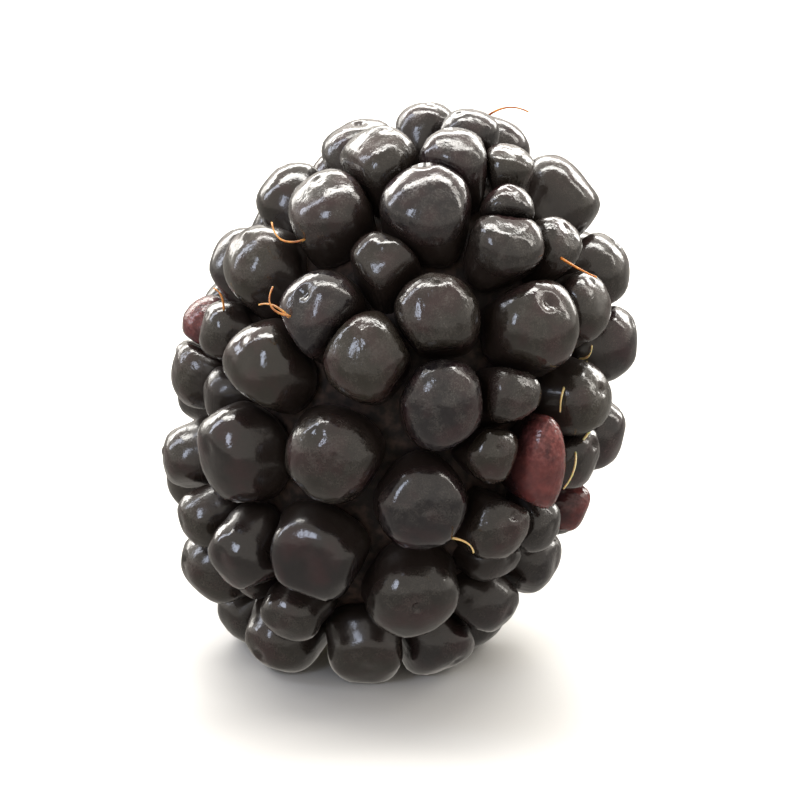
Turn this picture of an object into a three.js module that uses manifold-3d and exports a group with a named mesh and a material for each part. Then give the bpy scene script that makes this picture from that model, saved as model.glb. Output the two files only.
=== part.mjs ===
// A bramble berry as it is picked: dark drupelets packed round a core, a few of them still red, and the
// pale plug of the receptacle in the stem end that it stands on.
// Millimetres, +Z up. The origin is on the resting surface, under the middle of the berry.
import * as THREE from "three";
import { mergeVertices } from "three/addons/utils/BufferGeometryUtils.js";
import Module from "manifold-3d";

const wasm = await Module();
wasm.setup();

// The body that the crowns of the drupelets reach: an egg with a blunt foot, whose top leans to +X.
// Its widest level is the middle, from which every height below is taken.
const body = { halfWidth: 12, top: 15, foot: 16, footSquareness: 2.2, lean: 0.16 };

// The core is this far below the body's surface. Every drupelet is rooted in it.
const core = { inset: 2.5, detail: 2 };

// A drupelet is a round crown on a tapering root that goes this far into the core.
const drupelet = { tall: 1.07, shoulder: THREE.MathUtils.degToRad(100), rings: 4, sides: 9, rooted: 1.6 };

// The ring round the plug that carries the berry. Each of its drupelets is pressed flat where it rests.
const footRing = {
  count: 8,
  offAxis: THREE.MathUtils.degToRad(23.5),
  radius: 2.1,
  vary: 0.12,
  turnVary: 0.1,
  flattened: 0.2,
};

// The plug is sunk in the stem end and dished a little.
const plug = { radius: 3, innerRadius: 1.7, length: 4.2, recess: 1, dish: 0.6, sides: 18 };

// The drupelets of the back, spread evenly by the rule below over what the front rows leave bare.
const spread = { count: 33, candidates: 400, radius: 2.2, vary: 0.2, room: 1.15, steps: 80, pull: 0.35 };

// Small drupelets that fill what holes are left. Each is this much wider than its hole, and sunk in it.
const filling = { candidates: 1500, depth: 1.8, smallestHole: 0.95, press: 1.2, sunk: 1.5 };

// Between a piece of one colour and the next.
const gap = 0.3;

const seed = 7;

// The drupelets of the front, row by row from the top: [across, up, radius, sunk, long] in mm, as they
// show from the front and this far above level. "sunk" is how far one sits below its neighbours, and
// "long" how many times longer it is up and down than across.
const frontElevation = THREE.MathUtils.degToRad(21);
const frontRows = [
  [[1.4, 13.1, 1.6], [3.5, 12.6, 1.4]],
  [[-2.0, 11.7, 2.1], [-1.0, 10.7, 2.1], [2.8, 11.0, 1.8], [5.3, 10.9, 1.3, 0.3]],
  [[-5.6, 9.7, 2.1], [-3.3, 8.4, 2.35], [1.4, 8.5, 2.3], [5.4, 8.8, 1.2, 0.2], [7.8, 9.3, 2.3]],
  [[-6.7, 5.8, 2.1], [-0.6, 5.7, 1.9, 1.0], [5.2, 7.0, 1.8], [7.5, 6.9, 1.5, 0.6], [9.7, 5.8, 1.9]],
  [[-3.8, 3.5, 2.1], [1.8, 3.4, 2.1], [6.4, 3.0, 2.3], [8.8, 4.0, 1.7, 0.4], [10.5, 2.3, 1.8]],
  [[-8.7, 2.8, 1.4, 0.5], [-6.5, 1.0, 2.15], [-1.5, 1.4, 2.2], [2.1, -0.8, 2, 0, 1.15]],
  [[-9.9, 0.8, 1.8], [5.3, -0.5, 1.6, 0.6], [8.8, -0.6, 1.8, 0.3]],
  [[-7.9, -3.3, 2.1, 0, 1.15], [-3.3, -3.4, 2.25], [4.5, -3.3, 1.4, 0.6]],
  [[8.4, -3.4, 1.6, 0.6], [9.9, -2.5, 1.7]],
  [[-10.4, -3.7, 1.7], [1.1, -5.8, 2.2], [4.7, -6.9, 1.7, 0.3], [6.6, -6.9, 1.4, 0.6]],
  [[-9.7, -6.7, 1.6, 0.2], [-7.6, -8.4, 1.85], [-4.1, -8.4, 2.3], [0.5, -10.2, 2.2], [6.4, -8.8, 1.8, 0.3]],
  [[-5.4, -11.3, 1.5, 0.4], [4.0, -10.9, 1.8, 0.4]],
];

// The red ones, given the same way. The right one is pinched long between its neighbours.
const redOnes = {
  red_drupelet_left: [-10.5, 3.2, 1.6],
  red_drupelet_right: [7.0, -3.9, 1.3, 0, 2.15],
  red_drupelet_low: [8.5, -6.2, 1.2, 0.5],
};

// A drupelet is this much wider than what shows of it between its neighbours.
const swell = 1.1;

const darkSkin = new THREE.MeshStandardMaterial({ color: 0x1c1216, roughness: 0.22, metalness: 0 });
const redSkin = new THREE.MeshStandardMaterial({ color: 0x8c1f26, roughness: 0.25, metalness: 0 });
const paleFlesh = new THREE.MeshStandardMaterial({ color: 0xd8cfa6, roughness: 0.7, metalness: 0 });

// Mulberry32: the same seed gives the same berry everywhere.
function randomFrom(start) {
  let state = start;
  return () => {
    state = (state + 0x6d2b79f5) >>> 0;
    let mixed = Math.imul(state ^ (state >>> 15), state | 1);
    mixed ^= mixed + Math.imul(mixed ^ (mixed >>> 7), mixed | 61);
    return ((mixed ^ (mixed >>> 14)) >>> 0) / 2 ** 32;
  };
}

const random = randomFrom(seed);
const vary = (amount) => amount * (2 * random() - 1);

const look = new THREE.Vector3(0, Math.cos(frontElevation), -Math.sin(frontElevation));
const rise = new THREE.Vector3(0, Math.sin(frontElevation), Math.cos(frontElevation));

// Below zero inside the body when it is shrunk by inset, and above zero outside it.
function outside(point, inset) {
  const width = body.halfWidth - inset;
  const height = (point.z > 0 ? body.top : body.foot) - inset;
  const power = point.z > 0 ? 2 : body.footSquareness;
  const fromAxis = Math.hypot(point.x - body.lean * point.z, point.y);
  return (fromAxis / width) ** power + (Math.abs(point.z) / height) ** power - 1;
}

// Moves a point along the line from the body's middle until it lies on the shrunk body.
function ontoBody(point, inset) {
  const direction = point.clone().normalize();
  let near = 0;
  let far = 2 * body.foot;
  for (let halving = 0; halving < 40; halving++) {
    const half = (near + far) / 2;
    if (outside(direction.clone().multiplyScalar(half), inset) < 0) near = half;
    else far = half;
  }
  return direction.multiplyScalar(near);
}

// Straight out from the body at a point near its surface.
function outwardsAt(point) {
  const height = point.z > 0 ? body.top : body.foot;
  const outwards = new THREE.Vector3(point.x - body.lean * point.z, point.y, 0);
  outwards.divideScalar(body.halfWidth ** 2);
  outwards.z = point.z / height ** 2;
  return outwards.normalize();
}

const facesAway = (point) => outwardsAt(point).dot(look) > 0.02;

// Where a line of sight from the front first meets the shrunk body, or the place nearest to it.
function seenFromFront(across, up, inset) {
  const step = 0.02;
  const point = new THREE.Vector3(across, 0, 0).addScaledVector(rise, up).addScaledVector(look, -body.top);
  const nearest = point.clone();
  for (let along = 0; along < 2 * body.top; along += step) {
    point.addScaledVector(look, step);
    if (outside(point, inset) < outside(nearest, inset)) nearest.copy(point);
    if (outside(nearest, inset) <= 0) return nearest;
  }
  return ontoBody(nearest, inset);
}

function frontDrupelet([across, up, shown, sunk = 0, long = 1]) {
  const radius = shown * swell;
  return { centre: seenFromFront(across, up, radius + sunk), radius, long, fixed: true };
}

function footDrupelet(index) {
  const angle = ((index + vary(footRing.turnVary)) / footRing.count) * 2 * Math.PI;
  const radius = footRing.radius + vary(footRing.vary);
  const slope = Math.tan(footRing.offAxis);
  const direction = new THREE.Vector3(slope * Math.cos(angle) - body.lean, slope * Math.sin(angle), -1);
  return { centre: ontoBody(direction, radius), radius, long: 1, fixed: true };
}

// Directions on a golden spiral, even all round.
function spiral(count) {
  const goldenAngle = Math.PI * (3 - Math.sqrt(5));
  return Array.from({ length: count }, (_, index) => {
    const z = 1 - (2 * index + 1) / count;
    const fromAxis = Math.sqrt(1 - z * z);
    const turn = index * goldenAngle;
    return new THREE.Vector3(fromAxis * Math.cos(turn), fromAxis * Math.sin(turn), z);
  });
}

// The centre that is furthest from all that is placed, with how far it is.
function roomiest(centres, placed) {
  const rooms = centres.map((centre) =>
    Math.min(...placed.map((other) => other.centre.distanceTo(centre) - other.radius)),
  );
  const room = Math.max(...rooms);
  return { index: rooms.indexOf(room), room };
}

// The candidate with the most room is taken each time.
function spreadDrupelets(fixed) {
  const candidates = spiral(spread.candidates)
    .map((direction) => {
      const radius = spread.radius + vary(spread.vary);
      return { centre: ontoBody(direction, radius), radius, long: 1 };
    })
    .filter(({ centre }) => facesAway(centre));
  const chosen = [];
  while (chosen.length < spread.count) {
    const centres = candidates.map(({ centre }) => centre);
    const { index } = roomiest(centres, [...fixed, ...chosen]);
    chosen.push(...candidates.splice(index, 1));
  }
  return chosen;
}

function fillHoles(placed) {
  const centres = spiral(filling.candidates).map((direction) => ontoBody(direction, filling.depth));
  const fillers = [];
  for (;;) {
    const { index, room } = roomiest(centres, [...placed, ...fillers]);
    if (room < filling.smallestHole) return fillers;
    const radius = room * filling.press;
    fillers.push({ centre: ontoBody(centres[index], radius + filling.sunk), radius, long: 1 });
  }
}

// Pushes the drupelets that aren't fixed apart over the back, until they sit evenly.
function settle(all) {
  const free = all.filter((one) => !one.fixed);
  for (let step = 0; step < spread.steps; step++)
    for (const one of free) {
      const push = new THREE.Vector3();
      for (const other of all.filter((each) => each !== one)) {
        const away = one.centre.clone().sub(other.centre);
        const crowding = spread.room * (one.radius + other.radius) - away.length();
        if (crowding > 0) push.addScaledVector(away.normalize(), crowding);
      }
      const moved = ontoBody(push.multiplyScalar(spread.pull).add(one.centre), one.radius);
      if (facesAway(moved)) one.centre = moved;
    }
}

function solidOf(geometry) {
  const bare = geometry.clone();
  bare.deleteAttribute("normal");
  bare.deleteAttribute("uv");
  const merged = mergeVertices(bare, 1e-4);
  const vertProperties = merged.attributes.position.array;
  const triVerts = new Uint32Array(merged.index.array);
  return new wasm.Manifold(new wasm.Mesh({ numProp: 3, vertProperties, triVerts }));
}

// A core of the body's own form.
function coreSolid() {
  const geometry = new THREE.IcosahedronGeometry(1, core.detail);
  const { position } = geometry.attributes;
  for (let i = 0; i < position.count; i++) {
    const direction = new THREE.Vector3().fromBufferAttribute(position, i);
    position.setXYZ(i, ...ontoBody(direction, core.inset));
  }
  return solidOf(geometry);
}

// Made along +Z and turned outwards from the body. "grow" adds to it all round, for the pit of a red one.
function drupeletSolid({ centre, radius, long }, grow = 0) {
  const width = radius + grow;
  const height = radius * drupelet.tall + grow;
  const profile = [new THREE.Vector2(0, radius - core.inset - drupelet.rooted - grow)];
  for (let ring = drupelet.rings; ring >= 0; ring--) {
    const angle = (drupelet.shoulder * ring) / drupelet.rings;
    profile.push(new THREE.Vector2(width * Math.sin(angle), height * Math.cos(angle)));
  }
  const outwards = outwardsAt(centre);
  const sideways = new THREE.Vector3(0, 0, 1).cross(outwards).normalize();
  const upwards = outwards.clone().cross(sideways);
  const place = new THREE.Matrix4().makeBasis(sideways, upwards, outwards).setPosition(centre);
  const stretch = new THREE.Matrix4().makeScale(1, long, 1);
  const geometry = new THREE.LatheGeometry(profile, drupelet.sides).rotateX(Math.PI / 2);
  return solidOf(geometry.applyMatrix4(stretch).applyMatrix4(place));
}

const joined = (drupelets, grow = 0) =>
  drupelets.map((one) => drupeletSolid(one, grow)).reduce((all, solid) => all.add(solid));

// Turns an outline of [radius, height above the resting surface] round the leaning axis.
function turnedSolid(outline, rest) {
  const profile = outline.map(([radius, height]) => new THREE.Vector2(radius, height + rest));
  const leaning = new THREE.Matrix4().makeShear(0, 0, 0, 0, body.lean, 0);
  return solidOf(new THREE.LatheGeometry(profile, plug.sides).rotateX(Math.PI / 2).applyMatrix4(leaning));
}

// The plug, from the middle of its dished lower end.
const plugOutline = [
  [0, plug.recess + plug.dish],
  [plug.radius, plug.recess],
  [plug.radius, plug.recess + plug.length / 2],
  [plug.innerRadius, plug.recess + plug.length],
  [0, plug.recess + plug.length],
];

// The socket for it is wider by the gap, and open below.
const socketOutline = [
  [0, -gap],
  [plug.radius + gap, -gap],
  [plug.radius + gap, plug.recess + plug.length / 2],
  [plug.innerRadius + gap, plug.recess + plug.length + gap],
  [0, plug.recess + plug.length + gap],
];

// All that lies below the resting surface.
function groundSolid(rest) {
  const size = 4 * body.halfWidth;
  return solidOf(new THREE.BoxGeometry(size, size, size).translate(0, 0, rest - size / 2));
}

function meshOf(name, solid, material) {
  const { vertProperties, triVerts } = solid.getMesh();
  const geometry = new THREE.BufferGeometry();
  geometry.setAttribute("position", new THREE.BufferAttribute(vertProperties, 3));
  geometry.setIndex(new THREE.BufferAttribute(triVerts, 1));
  geometry.computeVertexNormals();
  const mesh = new THREE.Mesh(geometry, material);
  mesh.name = name;
  return mesh;
}

const reds = Object.values(redOnes).map(frontDrupelet);
const feet = Array.from({ length: footRing.count }, (_, index) => footDrupelet(index));
const fronts = frontRows.flat().map(frontDrupelet);
const stemEndCentre = new THREE.Vector3(-body.lean * body.foot, 0, -body.foot);
const stemEnd = { centre: stemEndCentre, radius: plug.radius, fixed: true };
const placed = [stemEnd, ...feet, ...fronts, ...reds];
const backs = spreadDrupelets(placed);
settle([...placed, ...backs]);
const fillers = fillHoles([...placed, ...backs]);

const rest = Math.min(...feet.map((one) => one.centre.z - one.radius)) + footRing.flattened;
const dark = joined([...feet, ...fronts, ...backs, ...fillers])
  .add(coreSolid())
  .subtract(joined(reds, gap))
  .subtract(turnedSolid(socketOutline, rest))
  .subtract(groundSolid(rest));

const bounds = dark.boundingBox();
const berry = new THREE.Group();
berry.position.set(-(bounds.min[0] + bounds.max[0]) / 2, -(bounds.min[1] + bounds.max[1]) / 2, -rest);
berry.add(meshOf("drupelets", dark, darkSkin));
Object.keys(redOnes).forEach((name, index) => berry.add(meshOf(name, drupeletSolid(reds[index]), redSkin)));
berry.add(meshOf("receptacle", turnedSolid(plugOutline, rest), paleFlesh));

export default berry;
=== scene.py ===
import math

import bmesh
import bpy
import numpy as np
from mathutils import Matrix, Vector, noise
from mathutils.bvhtree import BVHTree


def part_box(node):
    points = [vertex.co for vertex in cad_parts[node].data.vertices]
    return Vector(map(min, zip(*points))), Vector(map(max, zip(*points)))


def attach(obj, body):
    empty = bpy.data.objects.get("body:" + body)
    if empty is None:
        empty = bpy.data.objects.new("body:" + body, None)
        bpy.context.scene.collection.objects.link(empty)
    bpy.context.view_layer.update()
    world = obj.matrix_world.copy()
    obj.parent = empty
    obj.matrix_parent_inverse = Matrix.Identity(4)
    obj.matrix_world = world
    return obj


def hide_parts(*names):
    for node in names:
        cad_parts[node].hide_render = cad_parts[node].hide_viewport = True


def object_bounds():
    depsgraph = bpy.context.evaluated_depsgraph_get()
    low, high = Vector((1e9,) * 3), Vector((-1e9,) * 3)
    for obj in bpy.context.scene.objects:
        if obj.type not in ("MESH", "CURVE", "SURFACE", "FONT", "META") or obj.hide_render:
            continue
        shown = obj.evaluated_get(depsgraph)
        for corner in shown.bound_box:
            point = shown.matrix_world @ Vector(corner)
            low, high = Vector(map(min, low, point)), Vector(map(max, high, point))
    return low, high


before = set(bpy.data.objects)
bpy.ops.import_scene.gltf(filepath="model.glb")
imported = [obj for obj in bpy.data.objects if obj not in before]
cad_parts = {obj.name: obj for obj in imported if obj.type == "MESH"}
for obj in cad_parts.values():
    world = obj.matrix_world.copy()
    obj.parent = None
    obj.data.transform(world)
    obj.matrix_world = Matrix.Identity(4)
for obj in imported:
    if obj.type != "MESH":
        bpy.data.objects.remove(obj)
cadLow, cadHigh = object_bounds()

mm = 0.001

# Camera, floor and light.
shot = {"elevation": 21, "lens": 340, "distance": 0.39, "aim": (0, 0, 0.0133)}
stageForm = {"size": 3, "colour": "c2c1bf", "roughness": 0.5}
skyForm = {  # how bright it is, how far back that is full, and where its ground ends
    "front": 0.85,
    "back": 1.7,
    "below": 0.4,
    "fullBackAt": 0.7,
    "horizon": (-0.1, 0.05),
    "colour": "fdf6ec",
}
softboxes = {  # degrees right of the camera and up, degrees wide and high, brightness, colour
    "windowLight": (-38, 32, 13, 25, 8, "dfe9ff"),
    "leftLight": (-104, 34, 8, 46, 8, "e8efff"),
    "rightLight": (98, 38, 7, 42, 8, "fffaf2"),
    "topLight": (180, 74, 60, 13, 16, "fffdf8"),
    "backLight": (180, 33, 96, 17, 10, "fffdf8"),
    "leftRearLight": (-137, 14, 20, 24, 4, "fffdf8"),
    "rightRearLight": (137, 14, 20, 24, 6, "fffdf8"),
}
softboxDistance = 0.8


def linear(colour):  # sRGB hex to linear
    channels = [int(colour[at : at + 2], 16) / 255 for at in (0, 2, 4)]
    return [c / 12.92 if c <= 0.04045 else ((c + 0.055) / 1.055) ** 2.4 for c in channels] + [1]


def directionOf(turn, lift):
    turn, lift = math.radians(turn), math.radians(lift)
    level = math.cos(lift)
    return Vector((math.sin(turn) * level, -math.cos(turn) * level, math.sin(lift)))


# The links are nodes, sockets or fixed values, by input. A Mix takes its share at input 0, and two
# numbers at 2 and 3 or two colours at 6 and 7.
def addNode(tree, kind, links=None, **settings):
    node = tree.nodes.new("ShaderNode" + kind)
    for name, value in settings.items():
        setattr(node, name, value)
    for name, value in (links or {}).items():
        if isinstance(value, bpy.types.Node):
            value = next(socket for socket in value.outputs if socket.enabled)
        if isinstance(value, bpy.types.NodeSocket):
            tree.links.new(value, node.inputs[name])
        else:
            node.inputs[name].default_value = value
    return node


def newMaterial(name):
    material = bpy.data.materials.new(name)
    material.use_nodes = True
    material.node_tree.nodes.clear()
    return material, material.node_tree


def deselectAll():
    if bpy.context.object and bpy.context.object.mode != "OBJECT":
        bpy.ops.object.mode_set(mode="OBJECT")
    bpy.ops.object.select_all(action="DESELECT")


def addCamera():
    aim = Vector(shot["aim"])
    bpy.ops.object.camera_add(location=aim + directionOf(0, shot["elevation"]) * shot["distance"])
    camera = bpy.context.object
    camera.rotation_euler = (math.radians(90 - shot["elevation"]), 0, 0)
    camera.data.lens = shot["lens"]
    camera.data.clip_start = 0.01
    bpy.context.scene.camera = camera


def addFloor():
    deselectAll()
    bpy.ops.mesh.primitive_plane_add(size=stageForm["size"])
    floor = bpy.context.object
    floor.name = "floor"
    material, tree = newMaterial("paleTabletop")
    finish = {"Base Color": linear(stageForm["colour"]), "Roughness": stageForm["roughness"]}
    addNode(tree, "OutputMaterial", {"Surface": addNode(tree, "BsdfPrincipled", finish)})
    floor.data.materials.append(material)
    floor.visible_glossy = False  # the berry reflects the dim lower half of the tent instead


def addSky():  # a light tent: bright behind, dimmer over and round the camera, and dim below
    world = bpy.data.worlds.new("lightTent")
    bpy.context.scene.world = world
    world.use_nodes = True
    tree = world.node_tree
    tree.nodes.clear()
    direction = addNode(tree, "TexCoord").outputs["Generated"]
    apart = addNode(tree, "SeparateXYZ", {"Vector": direction})
    toTheBack = {"Value": apart.outputs["Y"], "From Max": skyForm["fullBackAt"]}
    behind = addNode(
        tree, "MapRange", {**toTheBack, "To Min": skyForm["front"], "To Max": skyForm["back"]}
    )
    ground, air = skyForm["horizon"]
    over = addNode(
        tree, "MapRange", {"Value": apart.outputs["Z"], "From Min": ground, "From Max": air}
    )
    bright = addNode(tree, "Mix", {0: over, 2: skyForm["below"], 3: behind})
    sky = addNode(tree, "Background", {"Color": linear(skyForm["colour"]), "Strength": bright})
    addNode(tree, "OutputWorld", {"Surface": sky})


def addSoftbox(name, turn, lift, wide, high, bright, colour):
    width = 2 * softboxDistance * math.tan(math.radians(wide / 2))
    height = 2 * softboxDistance * math.tan(math.radians(high / 2))
    towards = directionOf(turn, lift)
    place = Vector(shot["aim"]) + towards * softboxDistance
    bpy.ops.object.light_add(type="AREA", location=place)
    lamp = bpy.context.object
    lamp.name = name
    lamp.rotation_euler = towards.to_track_quat("Z", "Y").to_euler()
    lamp.data.shape = "RECTANGLE"
    lamp.data.size, lamp.data.size_y = width, height
    lamp.data.energy = bright * math.pi * width * height
    lamp.data.color = linear(colour)[:3]


addCamera()
addFloor()
addSky()
for name, box in softboxes.items():
    addSoftbox(name, *box)
bpy.context.scene.view_settings.view_transform = "Standard"
print("stage: camera, floor and", len(softboxes), "softboxes")

# Layout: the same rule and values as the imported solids, in millimetres from the body's middle.
body = {"halfWidth": 12, "top": 15, "foot": 16, "footSquareness": 2.2, "lean": 0.16}
footRing = {
    "count": 8,
    "offAxis": math.radians(23.5),
    "radius": 2.1,
    "vary": 0.12,
    "turnVary": 0.1,
    "flattened": 0.2,
}
plug = {"radius": 3, "innerRadius": 1.7, "length": 4.2, "recess": 1, "dish": 0.6}
spread = {
    "count": 33,
    "candidates": 400,
    "radius": 2.2,
    "vary": 0.2,
    "room": 1.15,
    "steps": 80,
    "pull": 0.35,
}
filling = {"candidates": 1500, "depth": 1.8, "smallestHole": 0.95, "press": 1.2, "sunk": 1.5}
frontElevation = math.radians(21)
frontSwell = 1.1  # a front drupelet's radius to the part of it that shows
hiddenFrom = 0.02  # how far a place has to face away from the front to belong to the back
layoutSeed = 7
frontRows = [  # across, up, radius shown, how far it is sunk, how many times longer than wide
    [(1.4, 13.1, 1.6), (3.5, 12.6, 1.4)],
    [(-2.0, 11.7, 2.1), (-1.0, 10.7, 2.1), (2.8, 11.0, 1.8), (5.3, 10.9, 1.3, 0.3)],
    [(-5.6, 9.7, 2.1), (-3.3, 8.4, 2.35), (1.4, 8.5, 2.3), (5.4, 8.8, 1.2, 0.2), (7.8, 9.3, 2.3)],
    [(-6.7, 5.8, 2.1), (-0.6, 5.7, 1.9, 1), (5.2, 7.0, 1.8), (7.5, 6.9, 1.5, 0.6), (9.7, 5.8, 1.9)],
    [(-3.8, 3.5, 2.1), (1.8, 3.4, 2.1), (6.4, 3.0, 2.3), (8.8, 4.0, 1.7, 0.4), (10.5, 2.3, 1.8)],
    [(-8.7, 2.8, 1.4, 0.5), (-6.5, 1.0, 2.15), (-1.5, 1.4, 2.2), (2.1, -0.8, 2, 0, 1.15)],
    [(-9.9, 0.8, 1.8), (5.3, -0.5, 1.6, 0.6), (8.8, -0.6, 1.8, 0.3)],
    [(-7.9, -3.3, 2.1, 0, 1.15), (-3.3, -3.4, 2.25), (4.5, -3.3, 1.4, 0.6)],
    [(8.4, -3.4, 1.6, 0.6), (9.9, -2.5, 1.7)],
    [(-10.4, -3.7, 1.7), (1.1, -5.8, 2.2), (4.7, -6.9, 1.7, 0.3), (6.6, -6.9, 1.4, 0.6)],
    [(-9.7, -6.7, 1.6, 0.2), (-7.6, -8.4, 1.85), (-4.1, -8.4, 2.3)],
    [(0.5, -10.2, 2.2), (6.4, -8.8, 1.8, 0.3)],
    [(-5.4, -11.3, 1.5, 0.4), (4.0, -10.9, 1.8, 0.4)],
]
redOnes = {
    "Left": (-10.5, 3.2, 1.6),
    "Right": (7.0, -3.9, 1.3, 0, 2.15),
    "Low": (8.5, -6.2, 1.2, 0.5),
}

lookWay = np.array((0, math.cos(frontElevation), -math.sin(frontElevation)))
riseWay = np.array((0, math.sin(frontElevation), math.cos(frontElevation)))


def randomFrom(start):  # even numbers from 0 to 1, the same ones each run
    state = start

    def draw():
        nonlocal state
        state = (state + 0x6D2B79F5) % 2**32
        mixed = ((state ^ (state >> 15)) * (state | 1)) % 2**32
        mixed ^= (mixed + (mixed ^ (mixed >> 7)) * (mixed | 61)) % 2**32
        return (mixed ^ (mixed >> 14)) / 2**32

    return draw


drawLayout = randomFrom(layoutSeed)


def vary(amount):
    return amount * (2 * drawLayout() - 1)


def unit(vector):
    return vector / np.linalg.norm(vector)


def outside(point, inset):  # below zero inside the body shrunk by inset
    height = body["top"] if point[2] > 0 else body["foot"]
    power = 2 if point[2] > 0 else body["footSquareness"]
    fromAxis = math.hypot(point[0] - body["lean"] * point[2], point[1])
    fromAxis /= body["halfWidth"] - inset
    fromMiddle = abs(point[2]) / (height - inset)
    return fromAxis**power + fromMiddle**power - 1


def ontoBody(point, inset):  # along the line from the body's middle
    direction = unit(point)
    near, far = 0, 2 * body["foot"]
    halvings = 40
    for _ in range(halvings):
        half = (near + far) / 2
        if outside(direction * half, inset) < 0:
            near = half
        else:
            far = half
    return direction * near


def outwardsAt(point):
    height = body["top"] if point[2] > 0 else body["foot"]
    width = body["halfWidth"]
    return unit(
        np.array((
            (point[0] - body["lean"] * point[2]) / width**2,
            point[1] / width**2,
            point[2] / height**2,
        ))
    )


def facesAway(point):
    return outwardsAt(point) @ lookWay > hiddenFrom


def seenFromFront(across, up, inset):
    step = 0.02
    point = np.array((across, 0, 0)) + riseWay * up - lookWay * body["top"]
    nearest = point
    for _ in range(round(2 * body["top"] / step)):
        point = point + lookWay * step
        if outside(point, inset) < outside(nearest, inset):
            nearest = point
        if outside(nearest, inset) <= 0:
            return nearest
    return ontoBody(nearest, inset)


def frontDrupelet(across, up, shown, sunk=0, long=1):
    radius = shown * frontSwell
    centre = seenFromFront(across, up, radius + sunk)
    return {"centre": centre, "radius": radius, "sunk": sunk, "long": long, "fixed": True}


def footDrupelet(index):
    angle = (index + vary(footRing["turnVary"])) / footRing["count"] * 2 * math.pi
    radius = footRing["radius"] + vary(footRing["vary"])
    across = math.tan(footRing["offAxis"])
    direction = np.array((across * math.cos(angle) - body["lean"], across * math.sin(angle), -1))
    return {"centre": ontoBody(direction, radius), "radius": radius, "long": 1, "fixed": True}


def spiral(count):  # directions on a golden spiral, even all round
    goldenAngle = math.pi * (3 - math.sqrt(5))
    directions = []
    for index in range(count):
        z = 1 - (2 * index + 1) / count
        fromAxis = math.sqrt(1 - z * z)
        turn = index * goldenAngle
        directions.append(np.array((fromAxis * math.cos(turn), fromAxis * math.sin(turn), z)))
    return directions


def roomiest(centres, placed):
    rooms = np.full(len(centres), np.inf)
    for one in placed:
        rooms = np.minimum(rooms, np.linalg.norm(centres - one["centre"], axis=1) - one["radius"])
    return int(np.argmax(rooms)), rooms.max()


def spreadDrupelets(fixed):  # the candidate with the most room is taken each time
    candidates = []
    for direction in spiral(spread["candidates"]):
        radius = spread["radius"] + vary(spread["vary"])
        centre = ontoBody(direction, radius)
        if facesAway(centre):
            candidates.append({"centre": centre, "radius": radius, "long": 1, "fixed": False})
    chosen = []
    while len(chosen) < spread["count"]:
        index, _ = roomiest(np.array([one["centre"] for one in candidates]), fixed + chosen)
        chosen.append(candidates.pop(index))
    return chosen


def fillHoles(placed):
    directions = spiral(filling["candidates"])
    centres = np.array([ontoBody(direction, filling["depth"]) for direction in directions])
    fillers = []
    while True:
        index, room = roomiest(centres, placed + fillers)
        if room < filling["smallestHole"]:
            return fillers
        radius = room * filling["press"]
        centre = ontoBody(centres[index], radius + filling["sunk"])
        filler = {"centre": centre, "radius": radius, "sunk": filling["sunk"]}
        fillers.append({**filler, "long": 1, "fixed": True})


def settle(everyOne):
    for _ in range(spread["steps"]):
        for one in everyOne:
            if one["fixed"]:
                continue
            push = np.zeros(3)
            for other in everyOne:
                if other is one:
                    continue
                away = one["centre"] - other["centre"]
                far = np.linalg.norm(away)
                crowding = spread["room"] * (one["radius"] + other["radius"]) - far
                if crowding > 0:
                    push += away / far * crowding
            moved = ontoBody(one["centre"] + push * spread["pull"], one["radius"])
            if facesAway(moved):
                one["centre"] = moved


reds = {name: frontDrupelet(*given) for name, given in redOnes.items()}
feet = [footDrupelet(index) for index in range(footRing["count"])]
frontPlaces = [given for row in frontRows for given in row]
fronts = [frontDrupelet(*given) for given in frontPlaces]
stemEndCentre = np.array((-body["lean"] * body["foot"], 0, -body["foot"]))
stemEnd = {"centre": stemEndCentre, "radius": plug["radius"], "long": 1, "fixed": True}
backs = spreadDrupelets([stemEnd, *feet, *fronts, *reds.values()])
settle([stemEnd, *feet, *fronts, *reds.values(), *backs])
fillers = fillHoles([stemEnd, *feet, *fronts, *reds.values(), *backs])
darks = [*feet, *fronts, *backs, *fillers]
allDrupelets = [*darks, *reds.values()]

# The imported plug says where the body's middle lies in the frame. It is widest over its lower half.
rest = min(one["centre"][2] - one["radius"] for one in feet) + footRing["flattened"]
plugLow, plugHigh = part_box("receptacle")
plugMiddle = (plugLow + plugHigh) / 2 / mm
widestHeight = rest + plug["recess"] + plug["length"] / 4
middle = np.array((plugMiddle.x - body["lean"] * widestHeight, plugMiddle.y, -rest))
print("layout:", len(allDrupelets), "drupelets, middle at", middle.round(3), "mm")


# Ripe drupelet skin: thin, taut and wet-looking, nearly black with wine-red juice behind it. A
# faint waxy bloom lies in patches and dulls the gloss; it is laid on stronger on the parts that face
# up, which paints the sheen of the light from above. Fine wrinkles run down from the scar. Down its
# flank a drupelet is coloured darker, which is painted shade, and gets matt.
darkSkin = {
    "black": "120f13",
    "brown": "201c15",
    "wine": "2c1619",
    # the grey of the waxy bloom, which also carries the painted sheen where the skin faces up
    "bloom": "5f5b56",
    # flank and groove colours are painted shade for the skin deep between drupelets
    "flankShade": "1f1815",
    "grooveShade": "201a17",
    "gloss": 0.08,
    "bloomed": 0.34,
    "haze": 0.08,
    "bloomShows": 0.37,
    "wet": 0.55,
    "dry": 0.15,
    "patchSize": 0.8,
    "wineSize": 1.8,
    "speckSize": 0.1,
    "dentSize": 0.9,
    "dentDepth": 0.1,
    "wrinkleSize": 0.3,
    "wrinkleDepth": 0.045,
    "rippleSize": 0.17,
    "rippleDepth": 0.012,
}


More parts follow.
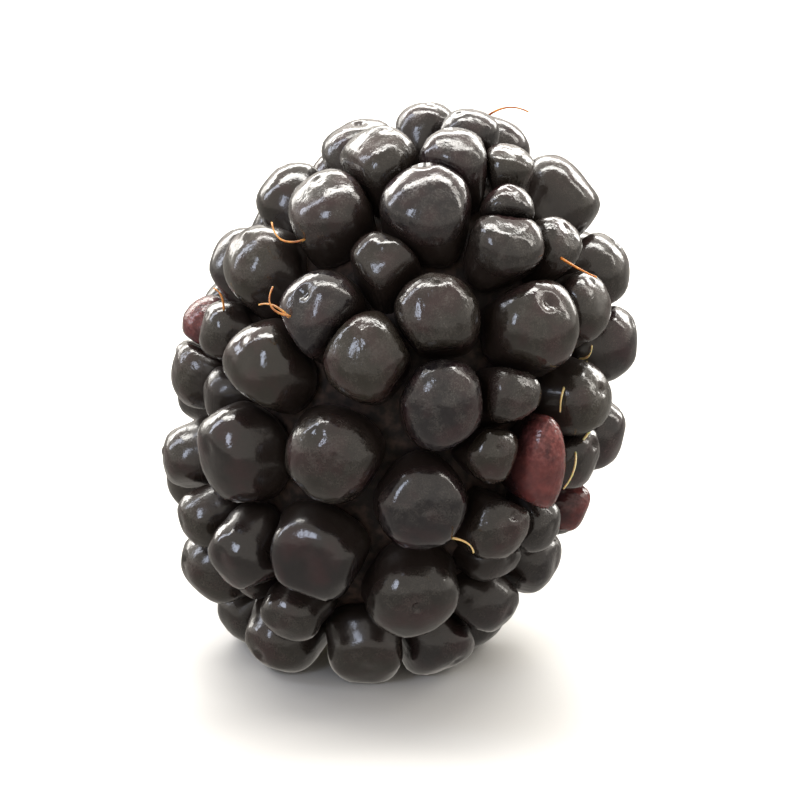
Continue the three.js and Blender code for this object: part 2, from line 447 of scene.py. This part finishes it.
def darkSkinMaterial():
    material, tree = newMaterial("ripeDrupeletSkin")
    skinPoint = addNode(tree, "Attribute", attribute_name="skinPoint").outputs["Vector"]
    tone = addNode(tree, "Attribute", attribute_name="tone").outputs["Fac"]
    slack = addNode(tree, "Attribute", attribute_name="slack").outputs["Fac"]
    bloomLeft = addNode(tree, "Attribute", attribute_name="bloomLeft").outputs["Fac"]
    depth = addNode(tree, "Attribute", attribute_name="depth").outputs["Fac"]
    upward = addNode(tree, "Attribute", attribute_name="upward").outputs["Fac"]

    juice = addNode(
        tree,
        "Mix",
        {0: tone, 6: linear(darkSkin["black"]), 7: linear(darkSkin["brown"])},
        data_type="RGBA",
    )
    wineSpots = addNode(
        tree, "TexNoise", {"Vector": skinPoint, "Scale": 1 / darkSkin["wineSize"], "Detail": 2}
    )
    wineShare = addNode(
        tree, "MapRange", {"Value": wineSpots, "From Min": 0.46, "From Max": 0.66, "To Max": 0.6}
    )
    ripened = addNode(
        tree, "Mix", {0: wineShare, 6: juice, 7: linear(darkSkin["wine"])}, data_type="RGBA"
    )

    patches = addNode(
        tree,
        "TexNoise",
        {"Vector": skinPoint, "Scale": 1 / darkSkin["patchSize"], "Detail": 4, "Roughness": 0.7},
    )
    patchy = addNode(tree, "MapRange", {"Value": patches, "From Min": 0.42, "From Max": 0.64})
    # painted light: the real bloom patches are laid on stronger where the skin faces up, as a grey
    # sheen from above
    paintedTopLight = addNode(
        tree,
        "MapRange",
        {"Value": upward, "From Min": -0.6, "From Max": 0.4, "To Min": 0.3, "To Max": 1},
    )
    specks = addNode(
        tree, "TexNoise", {"Vector": skinPoint, "Scale": 1 / darkSkin["speckSize"], "Detail": 2}
    )
    speckled = addNode(
        tree,
        "MapRange",
        {"Value": specks, "From Min": 0.4, "From Max": 0.62, "To Min": 0.5, "To Max": 1},
    )
    patchAndTopSheen = addNode(tree, "Math", {0: patchy, 1: paintedTopLight}, operation="MULTIPLY")
    hazy = addNode(tree, "MapRange", {"Value": patchAndTopSheen, "To Min": darkSkin["haze"]})
    bloomAndSheenHere = addNode(tree, "Math", {0: hazy, 1: speckled}, operation="MULTIPLY")
    bloom = addNode(tree, "Math", {0: bloomAndSheenHere, 1: bloomLeft}, operation="MULTIPLY")
    faintBloomAndSheen = addNode(tree, "Math", {0: bloom, 1: darkSkin["bloomShows"]}, operation="MULTIPLY")
    skin = addNode(
        tree, "Mix", {0: faintBloomAndSheen, 6: ripened, 7: linear(darkSkin["bloom"])}, data_type="RGBA"
    )

    # painted shade: darker down the flank and darker still deep in the grooves
    flankShadeShare = addNode(
        tree,
        "MapRange",
        {"Value": depth, "From Min": 0.7, "From Max": 2.3},
        interpolation_type="SMOOTHSTEP",
    )
    deepShadeShare = addNode(tree, "MapRange", {"Value": depth, "From Min": 1.8, "From Max": 3})
    flankShade = addNode(
        tree, "Mix", {0: flankShadeShare, 6: skin, 7: linear(darkSkin["flankShade"])}, data_type="RGBA"
    )
    colour = addNode(
        tree, "Mix", {0: deepShadeShare, 6: flankShade, 7: linear(darkSkin["grooveShade"])}, data_type="RGBA"
    )

    dull = addNode(tree, "Math", {0: bloom, 1: flankShadeShare}, operation="MAXIMUM")
    roughness = addNode(
        tree,
        "MapRange",
        {"Value": dull, "To Min": darkSkin["gloss"], "To Max": darkSkin["bloomed"]},
    )
    wetness = addNode(
        tree, "MapRange", {"Value": bloom, "To Min": darkSkin["wet"], "To Max": darkSkin["dry"]}
    )

    dents = addNode(
        tree, "TexNoise", {"Vector": skinPoint, "Scale": 1 / darkSkin["dentSize"], "Detail": 1}
    )
    dentStrength = addNode(tree, "MapRange", {"Value": slack, "To Min": 0.3, "To Max": 1})
    dented = addNode(
        tree,
        "Bump",
        {"Height": dents, "Strength": dentStrength, "Distance": darkSkin["dentDepth"] * mm},
    )
    drawnOut = addNode(tree, "Mapping", {"Vector": skinPoint, "Scale": (1, 1, 0.3)})
    wrinkles = addNode(
        tree, "TexNoise", {"Vector": drawnOut, "Scale": 1 / darkSkin["wrinkleSize"], "Detail": 2}
    )
    wrinkleStrength = addNode(tree, "MapRange", {"Value": slack, "To Min": 0.12, "To Max": 1})
    wrinkled = addNode(
        tree,
        "Bump",
        {
            "Height": wrinkles,
            "Strength": wrinkleStrength,
            "Distance": darkSkin["wrinkleDepth"] * mm,
            "Normal": dented,
        },
    )
    ripples = addNode(
        tree, "TexNoise", {"Vector": skinPoint, "Scale": 1 / darkSkin["rippleSize"], "Detail": 3}
    )
    rippled = addNode(
        tree,
        "Bump",
        {
            "Height": ripples,
            "Strength": 0.8,
            "Distance": darkSkin["rippleDepth"] * mm,
            "Normal": wrinkled,
        },
    )
    shader = addNode(
        tree,
        "BsdfPrincipled",
        {
            "Base Color": colour,
            "Roughness": roughness,
            "IOR": 1.45,
            "Coat Weight": wetness,
            "Coat Roughness": 0.04,
            "Normal": rippled,
            "Coat Normal": rippled,
        },
    )
    addNode(tree, "OutputMaterial", {"Surface": shader})
    return material


# Skin of a drupelet that hasn't ripened: tight and dull red, with paler specks laid on stronger
# where it faces up, partly flesh showing through and partly a painted highlight from the light
# above, painted shade darker down its flank, and fine grooves running down it.
redSkin = {
    "deep": "432425",
    "shaded": "271719",
    "bright": "613331",
    "pale": "9c5f5c",
    "gloss": 0.15,
    "flesh": (0.9, 0.3, 0.2),
    "patchSize": 0.9,
    "grooveSize": 0.28,
    "grooveDepth": 0.07,
    "speckSize": 0.2,
}


def redSkinMaterial():
    material, tree = newMaterial("unripeDrupeletSkin")
    skinPoint = addNode(tree, "Attribute", attribute_name="skinPoint").outputs["Vector"]
    depth = addNode(tree, "Attribute", attribute_name="depth").outputs["Fac"]
    upward = addNode(tree, "Attribute", attribute_name="upward").outputs["Fac"]
    patches = addNode(
        tree, "TexNoise", {"Vector": skinPoint, "Scale": 1 / redSkin["patchSize"], "Detail": 3}
    )
    patchy = addNode(tree, "MapRange", {"Value": patches, "From Min": 0.35, "From Max": 0.65})
    red = addNode(
        tree,
        "Mix",
        {0: patchy, 6: linear(redSkin["deep"]), 7: linear(redSkin["bright"])},
        data_type="RGBA",
    )
    specks = addNode(
        tree, "TexNoise", {"Vector": skinPoint, "Scale": 1 / redSkin["speckSize"], "Detail": 2}
    )
    speckled = addNode(tree, "MapRange", {"Value": specks, "From Min": 0.42, "From Max": 0.75})
    paintedTopLight = addNode(
        tree, "MapRange", {"Value": upward, "From Max": 0.9, "To Min": 0.05, "To Max": 0.5}
    )
    # partly painted highlight: pale specks laid on stronger where the red skin faces up
    paleAndGlintShare = addNode(tree, "Math", {0: speckled, 1: paintedTopLight}, operation="MULTIPLY")
    crown = addNode(
        tree, "Mix", {0: paleAndGlintShare, 6: red, 7: linear(redSkin["pale"])}, data_type="RGBA"
    )
    # painted shade: the red skin is coloured darker down its flank, towards the grooves
    flankShadeShare = addNode(tree, "MapRange", {"Value": depth, "From Min": 0.6, "From Max": 2.2})
    colour = addNode(
        tree, "Mix", {0: flankShadeShare, 6: crown, 7: linear(redSkin["shaded"])}, data_type="RGBA"
    )
    drawnOut = addNode(tree, "Mapping", {"Vector": skinPoint, "Scale": (1, 1, 0.15)})
    grooves = addNode(
        tree, "TexNoise", {"Vector": drawnOut, "Scale": 1 / redSkin["grooveSize"], "Detail": 2}
    )
    grooveDepth = redSkin["grooveDepth"] * mm
    grooved = addNode(tree, "Bump", {"Height": grooves, "Strength": 0.9, "Distance": grooveDepth})
    shader = addNode(
        tree,
        "BsdfPrincipled",
        {
            "Base Color": colour,
            "Roughness": redSkin["gloss"],
            "IOR": 1.45,
            "Subsurface Weight": 0.3,
            "Subsurface Radius": redSkin["flesh"],
            "Subsurface Scale": 1 * mm,
            "Normal": grooved,
        },
    )
    addNode(tree, "OutputMaterial", {"Surface": shader})
    return material


# What shows deep between drupelets: moist flesh, coloured dark as painted shade for the little
# light on it.
coreShade = {
    "dark": "1b1614",
    "wine": "3a2d27",
    "patchSize": 0.5,
    "roughness": 0.6,
    "specular": 0.15,
}


def coreShadeMaterial():
    material, tree = newMaterial("coreShade")
    place = addNode(tree, "TexCoord").outputs["Object"]
    patches = addNode(
        tree,
        "TexNoise",
        {"Vector": place, "Scale": 1 / (coreShade["patchSize"] * mm), "Detail": 3},
    )
    patchy = addNode(tree, "MapRange", {"Value": patches, "From Min": 0.4, "From Max": 0.7})
    colour = addNode(
        tree,
        "Mix",
        {0: patchy, 6: linear(coreShade["dark"]), 7: linear(coreShade["wine"])},
        data_type="RGBA",
    )
    finish = {
        "Base Color": colour,
        "Roughness": coreShade["roughness"],
        "Specular IOR Level": coreShade["specular"],
    }
    addNode(tree, "OutputMaterial", {"Surface": addNode(tree, "BsdfPrincipled", finish)})
    return material


darkSkinPaint = darkSkinMaterial()
coreShadePaint = coreShadeMaterial()
redSkinPaint = redSkinMaterial()

# Drupelets, and the core that they are rooted in, which has a socket for the plug.
coreForm = {
    "detail": 6,
    "inset": 3.6,
    "rooted": 0.7,
    "socketSides": 48,
    "socketRoom": 0.3,
    "socketPast": 1,  # how far the cutter runs past the foot
}
drupeletForm = {
    "segments": 36,
    "rings": 22,
    "wide": 1.06,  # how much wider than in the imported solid, before its neighbours press on it
    "slimness": 0.18,  # how much slimmer a long one is: a power of its length
    "rootSpread": 0.35,  # how much wider it gets on its way down, till its neighbours stop it
    "fullness": (2.15, 2.85),  # 2 is an ellipsoid, and a higher number a pillow
    "peak": (0, 0.09),  # how much the skin is drawn out to a point under the scar
    "peakSpread": math.radians(34),
    "neighbourWithin": 8,  # no drupelet presses on one whose centre is farther off
    "press": 9,  # a higher number gives flatter sides and a sharper edge where two press together
    "overlap": 0.35,  # how steeply each leans over its neighbour nearer the tip
    "firm": 0.3,  # how far an unripe one pushes its neighbours back
    "gap": 0.03,
    "deepest": 0.3,
    "lumps": ((0.06, 1.0), (0.025, 2.6)),  # how high, and how many to a radius
    "lumpShift": 9,  # from one drupelet's lumps to the next one's
    "patternShift": (17.3, 5.1, 0),  # the same for the patterns of its skin
    "tilt": (math.radians(19.2), math.radians(44.8)),  # of the scar, towards the tip of the berry
    "sideTilt": (-0.2, 0.2),
    "tautness": 1.6,  # a higher number leaves fewer drupelets with slack skin
}
bloomForm = {
    "left": (0.7, 1),  # how much of its waxy bloom a drupelet still has
    "leftWhereRubbed": 0.15,
    "rubbedClean": ((-6.5, 1.0), (-7.9, -3.3), (-4.1, -8.4), (-7.6, -8.4), (-5.6, 9.7)),
}
scars = {  # what the fallen style left: how far its cap is let in and sunk, and the dent round it
    "plain": {"let": 0.05, "sunk": 0.02, "dent": 0.0, "dentSize": 0.4},
    "pitted": {"let": 0.06, "sunk": 0.08, "dent": 0.04, "dentSize": 0.5},
    "nubbed": {"let": 0.08, "sunk": -0.035, "dent": 0.03, "dentSize": 0.35},
    "fallenIn": {"let": 0.05, "sunk": 0.02, "dent": 0.16, "dentSize": 0.75},
}


def selectFaces(piece, wanted):
    bpy.ops.mesh.select_all(action="DESELECT")
    bpy.ops.mesh.select_mode(type="FACE")
    mesh = bmesh.from_edit_mesh(piece.data)
    for face in mesh.faces:
        face.select_set(wanted(face))
    bmesh.update_edit_mesh(piece.data)


def drupeletMaster(name, scar):
    deselectAll()
    bpy.ops.mesh.primitive_uv_sphere_add(
        segments=drupeletForm["segments"], ring_count=drupeletForm["rings"], radius=1
    )
    master = bpy.context.object
    master.name = name
    bpy.ops.object.mode_set(mode="EDIT")
    capHeight = math.cos(math.pi / drupeletForm["rings"])
    selectFaces(master, lambda face: face.calc_center_median().z > capHeight)
    if scar["dent"]:
        bpy.ops.transform.translate(
            value=(0, 0, -scar["dent"]),
            use_proportional_edit=True,
            proportional_edit_falloff="SMOOTH",
            proportional_size=scar["dentSize"],
        )
    bpy.ops.mesh.inset(thickness=scar["let"])
    bpy.ops.transform.translate(value=(0, 0, -scar["sunk"]))
    bpy.ops.object.mode_set(mode="OBJECT")
    return master


def axesOf(one):
    outwards = outwardsAt(one["centre"])
    sideways = unit(np.cross((0, 0, 1), outwards))
    return outwards, sideways, np.cross(outwards, sideways)


def reachOf(one, directions):  # how far a drupelet's own round form goes each way from its centre
    outwards, sideways, upwards = axesOf(one)
    radius = one["radius"]
    rootLength = coreForm["inset"] + coreForm["rooted"] - radius
    height = directions @ outwards
    rootSpread = drupeletForm["rootSpread"] * ("ripe" in one)
    atCrown = radius * drupeletForm["wide"] / one["long"] ** drupeletForm["slimness"]
    wide = atCrown * (1 + rootSpread * np.clip(-height, 0, 1))
    across = np.hypot(directions @ sideways / wide, directions @ upwards / (wide * one["long"]))
    along = np.where(height > 0, height / radius, -height / rootLength)
    return (across ** one["fullness"] + along ** one["fullness"]) ** (-1 / one["fullness"])


def pressed(one, directions):  # the same, flattened softly where its neighbours press on it
    press = drupeletForm["press"]
    closeness = reachOf(one, directions) ** -press
    outwards, _, upwards = axesOf(one)
    for other in allDrupelets:
        towards = other["centre"] - one["centre"]
        far = np.linalg.norm(towards)
        if other is one or far > drupeletForm["neighbourWithin"]:
            continue
        towards = towards / far
        own = reachOf(one, towards[None])[0]
        their = reachOf(other, -towards[None])[0]
        if far > own + their:
            continue
        wall = (far**2 + own**2 - their**2) / (2 * far) - drupeletForm["gap"]
        wall += drupeletForm["firm"] * (("ripe" in other) - ("ripe" in one))
        wall = max(wall, drupeletForm["deepest"] * own)
        across = unit(towards - outwards * drupeletForm["overlap"] * (towards @ upwards))
        facing = np.clip(directions @ across, 0, None)
        closeness += (facing / (wall * (towards @ across))) ** press
    return closeness ** (-1 / press)


def setAttribute(piece, name, kind, values):
    attribute = piece.data.attributes.new(name, kind, "POINT")
    attribute.data.foreach_set("vector" if kind == "FLOAT_VECTOR" else "value", np.ravel(values))


def readPoints(piece):
    points = np.empty(len(piece.data.vertices) * 3)
    piece.data.vertices.foreach_get("co", points)
    return points.reshape(-1, 3)


def writePoints(piece, points):
    piece.data.vertices.foreach_set("co", points.ravel())
    piece.data.update()


def copyDrupelet(master, one, index, material):
    copied = master.copy()
    copied.data = master.data.copy()
    copied.data.materials.append(material)
    bpy.context.scene.collection.objects.link(copied)
    points = readPoints(copied)
    outwards, sideways, upwards = axesOf(one)
    tilt = drawBetween(*drupeletForm["tilt"])
    sideTilt = drawBetween(*drupeletForm["sideTilt"])
    pole = unit(outwards * math.cos(tilt) + (upwards + sideways * sideTilt) * math.sin(tilt))
    spin = drawBetween(0, 2 * math.pi)
    first = unit(np.cross(pole, sideways))
    second = np.cross(pole, first)
    across = first * math.cos(spin) + second * math.sin(spin)
    frameOf = np.array((across, np.cross(pole, across), pole))
    distances = np.linalg.norm(points, axis=1)
    local = points / distances[:, None]
    directions = local @ frameOf
    reach = pressed(one, directions) * distances
    fromPole = np.arccos(np.clip(local[:, 2], -1, 1))
    reach *= 1 + one["peak"] * np.exp(-((fromPole / drupeletForm["peakSpread"]) ** 2))
    shift = Vector((drupeletForm["lumpShift"] * index, 0, 0))
    for height, number in drupeletForm["lumps"]:
        bumps = np.array([noise.noise(Vector(way * number) + shift) for way in directions])
        reach *= 1 + height * (bumps - 0.5)
    placed = one["centre"] + directions * reach[:, None]
    placed[:, 2] = np.maximum(placed[:, 2], rest)
    writePoints(copied, (placed + middle) * mm)
    one["scar"] = placed[np.argmax(local[:, 2])]
    patternShift = np.array(drupeletForm["patternShift"]) * index
    setAttribute(copied, "skinPoint", "FLOAT_VECTOR", local * reach[:, None] + patternShift)
    tone = drawLooks()
    slack = drawLooks() ** drupeletForm["tautness"] * one["bloom"]
    belowCrown = one["radius"] - (directions * reach[:, None]) @ outwards + one.get("sunk", 0)
    forAll = np.ones(len(points))
    setAttribute(copied, "tone", "FLOAT", forAll * tone)
    setAttribute(copied, "slack", "FLOAT", forAll * slack)
    setAttribute(copied, "bloomLeft", "FLOAT", forAll * one["bloom"])
    # how far below its crown each point lies: the skins use it for their painted flank shade
    setAttribute(copied, "depth", "FLOAT", belowCrown)
    # which way each point faces: the skins use it for their painted top light
    setAttribute(copied, "upward", "FLOAT", directions[:, 2])
    return copied


def joinPieces(name, parts, slotName, *nodes):
    deselectAll()
    for part in parts:
        part.select_set(True)
    bpy.context.view_layer.objects.active = parts[0]
    bpy.ops.object.join()
    joined = bpy.context.object
    joined.name = name
    joined.data.name = name
    bpy.ops.object.shade_smooth()
    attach(joined, "root")
    if nodes:
        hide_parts(*nodes)
    return joined


def addCore():
    deselectAll()
    bpy.ops.mesh.primitive_ico_sphere_add(subdivisions=coreForm["detail"], radius=1)
    core = bpy.context.object
    points = np.array([ontoBody(point, coreForm["inset"]) for point in readPoints(core)])
    writePoints(core, (points + middle) * mm)
    deselectAll()
    depth = plug["recess"] + plug["length"] + coreForm["socketRoom"]
    lean = body["lean"] * (rest + depth / 2)
    past = coreForm["socketPast"]
    bpy.ops.mesh.primitive_cylinder_add(
        vertices=coreForm["socketSides"],
        radius=(plug["radius"] + coreForm["socketRoom"]) * mm,
        depth=(depth + past) * mm,
        location=((middle[0] + lean) * mm, middle[1] * mm, (depth - past) / 2 * mm),
    )
    cutter = bpy.context.object
    deselectAll()
    core.select_set(True)
    bpy.context.view_layer.objects.active = core
    cut = core.modifiers.new("socket", "BOOLEAN")
    cut.operation = "DIFFERENCE"
    cut.solver = "EXACT"
    cut.object = cutter
    bpy.ops.object.modifier_apply(modifier=cut.name)
    bpy.data.objects.remove(cutter)
    # the core's dark colour is painted shade for the depths between the drupelets
    core.data.materials.append(coreShadePaint)
    return core


looksSeed = 11
drawLooks = randomFrom(looksSeed)


def drawBetween(low, high):
    return low + (high - low) * drawLooks()


for one in allDrupelets:
    one["fullness"] = drawBetween(*drupeletForm["fullness"])
    one["peak"] = drawBetween(*drupeletForm["peak"])
for one in allDrupelets:
    one["bloom"] = drawBetween(*bloomForm["left"])
for place, one in zip(frontPlaces, fronts):
    if place[:2] in bloomForm["rubbedClean"]:
        one["bloom"] = bloomForm["leftWhereRubbed"]
for one in darks:
    one["ripe"] = True
masters = {name: drupeletMaster(name, scar) for name, scar in scars.items()}
scarNames = ["plain", "plain", "pitted", "plain", "nubbed", "fallenIn", "pitted"]  # one is drawn
darkParts = [
    copyDrupelet(masters[scarNames[int(drawLooks() * len(scarNames))]], one, index, darkSkinPaint)
    for index, one in enumerate(darks)
]
darkParts.append(addCore())
darkDrupelets = joinPieces("darkDrupelets", darkParts, "dark_skin", "drupelets")
for index, (name, one) in enumerate(reds.items()):
    part = copyDrupelet(masters["plain"], one, len(darks) + index, redSkinPaint)
    joinPieces("redDrupelet" + name, [part], "red_skin", "red_drupelet_" + name.lower())
for master in masters.values():
    bpy.data.objects.remove(master)
print("drupelets:", len(darkDrupelets.data.polygons), "faces")

# A dried style: a stiff, bent thread with a blunt stigma, orange-brown to straw and half clear.
threadForm = {
    "sides": 6,
    "steps": 12,
    "radius": 0.07,
    "taper": 0.5,
    "knob": 1.25,
    "rooted": 0.1,
    "bend": (0.25, 0.55),  # how far it bulges, for its length
    "length": (1.3, 2.4),
    "lift": (0.1, 0.5),
    "paleRarity": 2,
    "share": 0.22,  # of the drupelets of the back that still carry one
    "aboveFoot": 4,  # the lowest ones carry none
    "margin": 0.5,  # from the sides of the solids' box
}
frontThreads = [  # across and up of foot and tip, how far the tip stands off, and how pale it is
    (-4.8, 7.4, -6.5, 8.3, -0.3, 0.1),
    (-5.5, 3.5, -6.4, 5.0, -0.3, 0.1),
    (-5.6, 3.4, -7.1, 4.1, -0.6, 0.2),
    (2.6, -7.7, 3.7, -8.4, 0.8, 0.5),
    (8.3, 0.0, 8.1, -1.3, 0.5, 0.6),
    (8.1, 6.5, 9.9, 5.5, 0.5, 0.0),
    (8.95, -3.3, 8.3, -5.2, 1.0, 0.8),
    (-9.0, 3.9, -9.5, 5.0, 0.3, 0.1),
    (9.35, -2.7, 10.0, -1.9, 0.4, 0.9),
    (9.1, 1.4, 9.8, 2.1, 0.4, 0.7),
]
driedStyle = {
    "brown": "8a4a1c",
    "golden": "c8862e",
    "straw": "d9cf9a",
    "patchSize": 0.4,
    "flesh": (1, 0.5, 0.2),
}


def threadMaterial():
    material, tree = newMaterial("driedStyle")
    tone = addNode(tree, "Attribute", attribute_name="tone").outputs["Fac"]
    place = addNode(tree, "TexCoord").outputs["Object"]
    patches = addNode(
        tree,
        "TexNoise",
        {"Vector": place, "Scale": 1 / (driedStyle["patchSize"] * mm), "Detail": 2},
    )
    patchy = addNode(tree, "MapRange", {"Value": patches, "From Min": 0.35, "From Max": 0.65})
    golden = addNode(
        tree,
        "Mix",
        {0: patchy, 6: linear(driedStyle["brown"]), 7: linear(driedStyle["golden"])},
        data_type="RGBA",
    )
    straw = linear(driedStyle["straw"])
    colour = addNode(tree, "Mix", {0: tone, 6: golden, 7: straw}, data_type="RGBA")
    shader = addNode(
        tree,
        "BsdfPrincipled",
        {
            "Base Color": colour,
            "Roughness": 0.45,
            "IOR": 1.5,
            "Subsurface Weight": 0.3,
            "Subsurface Radius": driedStyle["flesh"],
            "Subsurface Scale": 0.3 * mm,
        },
    )
    addNode(tree, "OutputMaterial", {"Surface": shader})
    return material


def threadMaster():
    steps = threadForm["steps"]
    deselectAll()
    bpy.ops.mesh.primitive_circle_add(vertices=threadForm["sides"], radius=1, fill_type="NGON")
    master = bpy.context.object
    bpy.ops.object.mode_set(mode="EDIT")
    bpy.ops.mesh.select_all(action="SELECT")
    shrink = threadForm["taper"] ** (1 / steps)
    for step in range(steps):
        bpy.ops.mesh.extrude_region_move(TRANSFORM_OT_translate={"value": (0, 0, 1 / steps)})
        knob = threadForm["knob"] if step == steps - 2 else 1
        bpy.ops.transform.resize(value=(shrink * knob, shrink * knob, 1))
    bpy.ops.mesh.select_all(action="SELECT")
    bpy.ops.mesh.normals_make_consistent(inside=False)
    bpy.ops.object.mode_set(mode="OBJECT")
    return master


def layThread(master, foot, tip, outwards, pale):  # an arc from foot to tip that bulges outwards
    copied = master.copy()
    copied.data = master.data.copy()
    bpy.context.scene.collection.objects.link(copied)
    points = readPoints(copied)
    along = np.clip(points[:, 2:3], 0, 1)
    bend = np.linalg.norm(tip - foot) * drawBetween(*threadForm["bend"])
    side = unit(np.cross(tip - foot, outwards))
    sway = bend * drawBetween(-1, 1)
    top = (foot + tip) / 2 + outwards * bend + side * sway
    spine = foot * (1 - along) ** 2 + top * 2 * along * (1 - along) + tip * along**2
    ahead = (top - foot) * (1 - along) + (tip - top) * along
    ahead = ahead / np.linalg.norm(ahead, axis=1)[:, None]
    first = np.cross(ahead, side)
    first = first / np.linalg.norm(first, axis=1)[:, None]
    second = np.cross(ahead, first)
    placed = spine + (first * points[:, 0:1] + second * points[:, 1:2]) * threadForm["radius"]
    writePoints(copied, (placed + middle) * mm)
    setAttribute(copied, "tone", "FLOAT", np.full(len(points), pale))
    return copied


def onSkin(across, up, skin):  # where a line of sight from the front meets the drupelets
    start = np.array((across, 0, 0)) + riseWay * up - lookWay * 2 * body["top"] + middle
    hit, normal, _, _ = skin.ray_cast(Vector(start * mm), Vector(lookWay))
    return np.array(hit) / mm - middle, np.array(normal)


def insideBox(point):
    lowest = np.array(cadLow) / mm + threadForm["margin"]
    highest = np.array(cadHigh) / mm - threadForm["margin"]
    return np.all(point + middle > lowest) and np.all(point + middle < highest)


def addThreads():
    master = threadMaster()
    master.data.materials.append(threadMaterial())
    skin = BVHTree.FromObject(darkDrupelets, bpy.context.evaluated_depsgraph_get())
    rooted = threadForm["rooted"]
    threads = []
    for footAcross, footUp, tipAcross, tipUp, standOff, pale in frontThreads:
        foot, outwards = onSkin(footAcross, footUp, skin)
        along = np.array((tipAcross - footAcross, 0, 0)) + riseWay * (tipUp - footUp)
        tip = foot + along - lookWay * standOff
        bulge = unit(outwards - lookWay)
        threads.append(layThread(master, foot - outwards * rooted, tip, bulge, pale))
    lowestFoot = rest + threadForm["aboveFoot"]
    for one in darks:
        chance = drawLooks()
        turn = drawBetween(0, 2 * math.pi)
        length = drawBetween(*threadForm["length"])
        lift = drawBetween(*threadForm["lift"])
        pale = drawLooks() ** threadForm["paleRarity"]
        carries = chance <= threadForm["share"] and facesAway(one["centre"])
        if not carries or one["centre"][2] < lowestFoot:
            continue
        outwards = unit(one["scar"] - one["centre"])
        first = unit(np.cross(outwards, (0, 0, 1)))
        away = first * math.cos(turn) + np.cross(first, outwards) * math.sin(turn)
        tip = one["scar"] + away * length + outwards * lift
        if insideBox(tip) and insideBox(one["scar"] + outwards):
            foot = one["scar"] - outwards * rooted
            threads.append(layThread(master, foot, tip, outwards, pale))
    bpy.data.objects.remove(master)
    joinPieces("styleThreads", threads, "pale_flesh")
    print("threads:", len(threads))


addThreads()


# The pale plug that the drupelets grew on, torn off the stalk: dry, matt, fibrous and a little
# dished.
plugForm = {
    "sides": 64,
    "rows": 8,
    "tear": 0.16,
    "tearSize": 0.5,
    "tearStretch": (1, 1, 0.3),
    "cream": "d9cfa6",
    "green": "b9bd83",
    "greenSize": 1.3,
    "bruise": "9a7a4c",
    "bruiseSize": 0.6,
    "fibreSize": 0.22,
    "fibreDepth": 0.08,
    "flesh": (1, 0.8, 0.4),
}


def plugMaterial():
    material, tree = newMaterial("tornReceptacleFlesh")
    place = addNode(tree, "TexCoord").outputs["Object"]
    greenScale = 1 / (plugForm["greenSize"] * mm)
    patches = addNode(
        tree, "TexNoise", {"Vector": place, "Scale": greenScale, "Detail": 3, "Roughness": 0.6}
    )
    greenShare = addNode(tree, "MapRange", {"Value": patches, "From Min": 0.4, "From Max": 0.65})
    flesh = addNode(
        tree,
        "Mix",
        {0: greenShare, 6: linear(plugForm["cream"]), 7: linear(plugForm["green"])},
        data_type="RGBA",
    )
    bruiseScale = 1 / (plugForm["bruiseSize"] * mm)
    bruises = addNode(
        tree, "TexNoise", {"Vector": place, "Scale": bruiseScale, "Detail": 3, "Roughness": 0.7}
    )
    bruised = addNode(
        tree, "MapRange", {"Value": bruises, "From Min": 0.55, "From Max": 0.75, "To Max": 0.8}
    )
    colour = addNode(
        tree, "Mix", {0: bruised, 6: flesh, 7: linear(plugForm["bruise"])}, data_type="RGBA"
    )
    drawnOut = addNode(tree, "Mapping", {"Vector": place, "Scale": (1, 1, 0.2)})
    fibreScale = 1 / (plugForm["fibreSize"] * mm)
    fibres = addNode(tree, "TexNoise", {"Vector": drawnOut, "Scale": fibreScale, "Detail": 3})
    fibreDepth = plugForm["fibreDepth"] * mm
    torn = addNode(tree, "Bump", {"Height": fibres, "Strength": 0.8, "Distance": fibreDepth})
    shader = addNode(
        tree,
        "BsdfPrincipled",
        {
            "Base Color": colour,
            "Roughness": 0.75,
            "IOR": 1.4,
            "Subsurface Weight": 0.15,
            "Subsurface Radius": plugForm["flesh"],
            "Subsurface Scale": 0.5 * mm,
            "Normal": torn,
        },
    )
    addNode(tree, "OutputMaterial", {"Surface": shader})
    return material


def addPlug():
    deselectAll()
    bpy.ops.mesh.primitive_circle_add(
        vertices=plugForm["sides"],
        radius=plug["radius"],
        fill_type="NGON",
        location=(0, 0, plug["recess"]),
    )
    bpy.ops.object.transform_apply()
    piece = bpy.context.object
    bpy.ops.object.mode_set(mode="EDIT")
    bpy.ops.mesh.select_all(action="SELECT")
    rows = plugForm["rows"]
    rise = plug["length"] / rows
    shrink = (plug["innerRadius"] / plug["radius"]) ** (2 / rows)
    for row in range(rows):
        bpy.ops.mesh.extrude_region_move(TRANSFORM_OT_translate={"value": (0, 0, rise)})
        if row >= rows / 2:
            bpy.ops.transform.resize(value=(shrink, shrink, 1))
    tolerance = 0.1
    for end, sink in ((plug["recess"], plug["dish"]), (plug["recess"] + plug["length"], 0)):
        selectFaces(
            piece,
            lambda face: len(face.verts) > 4
            and abs(face.calc_center_median().z - end) < tolerance,
        )
        for ring in range(rows):
            bpy.ops.mesh.inset(thickness=plug["innerRadius"] / rows)
            bpy.ops.transform.translate(value=(0, 0, sink / rows))
        bpy.ops.mesh.poke()
    bpy.ops.mesh.select_all(action="SELECT")
    bpy.ops.mesh.normals_make_consistent(inside=False)
    bpy.ops.object.mode_set(mode="OBJECT")
    points = readPoints(piece)
    stretched = points * plugForm["tearStretch"]
    tears = np.array([noise.noise(Vector(point) / plugForm["tearSize"]) for point in stretched])
    fromAxis = np.hypot(points[:, 0], points[:, 1])
    inward = 1 - plugForm["tear"] * (tears * 0.5 + 0.5) * np.clip(fromAxis / plug["radius"], 0, 1)
    points[:, :2] *= inward[:, None]
    points[:, 0] += body["lean"] * (points[:, 2] + rest) + middle[0]
    points[:, 1] += middle[1]
    writePoints(piece, points * mm)
    piece.data.materials.append(plugMaterial())
    joinPieces("receptaclePlug", [piece], "pale_flesh", "receptacle")


addPlug()
print("plug: in its socket")
